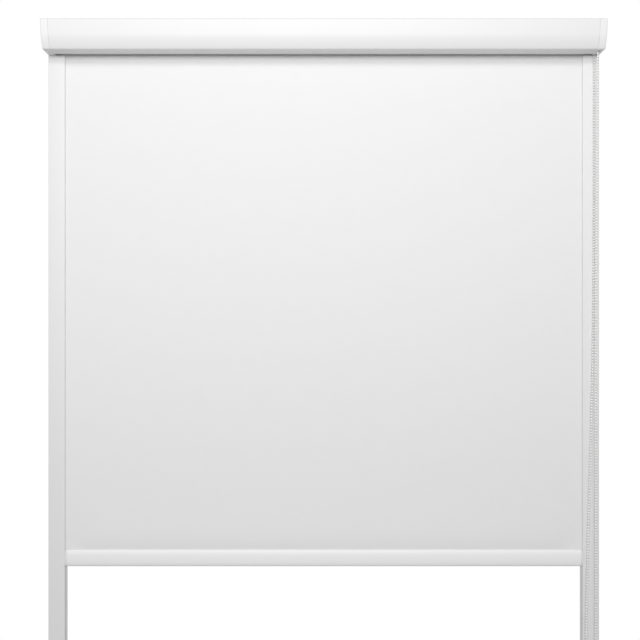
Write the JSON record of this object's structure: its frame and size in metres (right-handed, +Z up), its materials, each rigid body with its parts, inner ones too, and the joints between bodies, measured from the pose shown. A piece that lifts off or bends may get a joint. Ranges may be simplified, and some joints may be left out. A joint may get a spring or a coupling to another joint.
{
  "type": "cassette roller blind",
  "caption": "White cassette roller blind with side channels: fabric on a chain-driven roller tube, a slim bottom bar and a bead chain held by a tensioner.",
  "frame": {"origin": "middle of the centre mounting clip's back face, on the wall plane behind the middle of the cassette", "axes": "+X across the width to the viewer's right, +Y into the wall, +Z up"},
  "size_m": [1.2, 0.0693, 1.5],
  "materials": {
    "white_coated_aluminium": "satin white powder coat on extruded aluminium",
    "white_moulding": "white moulded plastic, fine satin",
    "white_chain": "white moulded plastic beads",
    "blind_fabric": "smooth matt white coated blind cloth",
    "tube_aluminium": "mill finish",
    "grey_moulding": "grey moulded plastic",
    "spring_steel": "plain spring steel",
    "zinc_steel": "zinc plated steel",
    "pile": "short white brush pile"
  },
  "bodies": {
    "frame": {"back_profile": "white_coated_aluminium", "front_cover": "white_coated_aluminium", "end_cap_left": "white_moulding", "end_cap_right": "white_moulding", "cap_screw_left_upper": "zinc_steel", "cap_screw_left_lower": "zinc_steel", "cap_screw_right_upper": "zinc_steel", "cap_screw_right_lower": "zinc_steel", "mounting_clip_left": "spring_steel", "mounting_clip_centre": "spring_steel", "mounting_clip_right": "spring_steel", "clutch_core": "grey_moulding", "chain_guard": "white_moulding", "wrap_spring": "spring_steel", "sleeve_retainer": "spring_steel", "fabric_panel": "blind_fabric", "channel_base_left": "white_coated_aluminium", "channel_cover_left": "white_coated_aluminium", "front_pile_left": "pile", "back_pile_left": "pile", "channel_foot_left": "white_moulding", "channel_base_right": "white_coated_aluminium", "channel_cover_right": "white_coated_aluminium", "front_pile_right": "pile", "back_pile_right": "pile", "channel_foot_right": "white_moulding", "tensioner_base": "white_moulding", "tensioner_cover": "white_moulding", "tensioner_axle": "zinc_steel", "tensioner_screw_upper": "zinc_steel", "tensioner_screw_lower": "zinc_steel", "bead_chain": "white_chain", "chain_joiner": "white_chain"},
    "roller": {"roller_tube": "tube_aluminium", "fabric_roll": "blind_fabric", "fabric_keder": "grey_moulding", "idle_plug": "grey_moulding", "spring_seat": "grey_moulding", "idle_spring": "spring_steel", "drive_sleeve": "grey_moulding"},
    "chain_wheel": {"chain_wheel": "white_moulding"},
    "bar": {"bottom_bar": "white_coated_aluminium", "bar_keder": "grey_moulding", "bar_cap_left": "white_moulding", "bar_cap_right": "white_moulding"},
    "idle_pin": {"idle_pin": "zinc_steel"},
    "tensioner_pulley": {"tensioner_pulley": "white_moulding"}
  },
  "joints": [
    {"name": "bar_travel", "type": "slide", "parent": "frame", "child": "bar", "axis": [0, 0, 1], "range_m": [-0.31, 1.07], "deforming": ["fabric_panel"]},
    {"name": "roller_spin", "type": "hinge", "parent": "frame", "child": "roller", "pos_m": [0, -0.032, 0], "axis": [1, 0, 0], "range_deg": [-961, 3314]},
    {"name": "chain_wheel_spin", "type": "hinge", "parent": "frame", "child": "chain_wheel", "pos_m": [0.58765, -0.032, 0], "axis": [1, 0, 0], "range_deg": [-961, 3314]},
    {"name": "tensioner_pulley_spin", "type": "hinge", "parent": "frame", "child": "tensioner_pulley", "pos_m": [0.5785, -0.026, -1.39425], "axis": [0, 1, 0], "range_deg": [-1101, 3798]},
    {"name": "idle_pin_slide", "type": "slide", "parent": "frame", "child": "idle_pin", "axis": [1, 0, 0], "range_m": [0, 0.0125], "stiffness_N_per_m": 400, "springref_m": -0.012, "deforming": ["idle_spring"]}
  ],
  "couplings": [
    {"joint": "roller_spin", "follows": "bar_travel", "rad_per_m": 54.054},
    {"joint": "chain_wheel_spin", "follows": "bar_travel", "rad_per_m": 54.054},
    {"joint": "tensioner_pulley_spin", "follows": "bar_travel", "rad_per_m": 61.941}
  ]
}
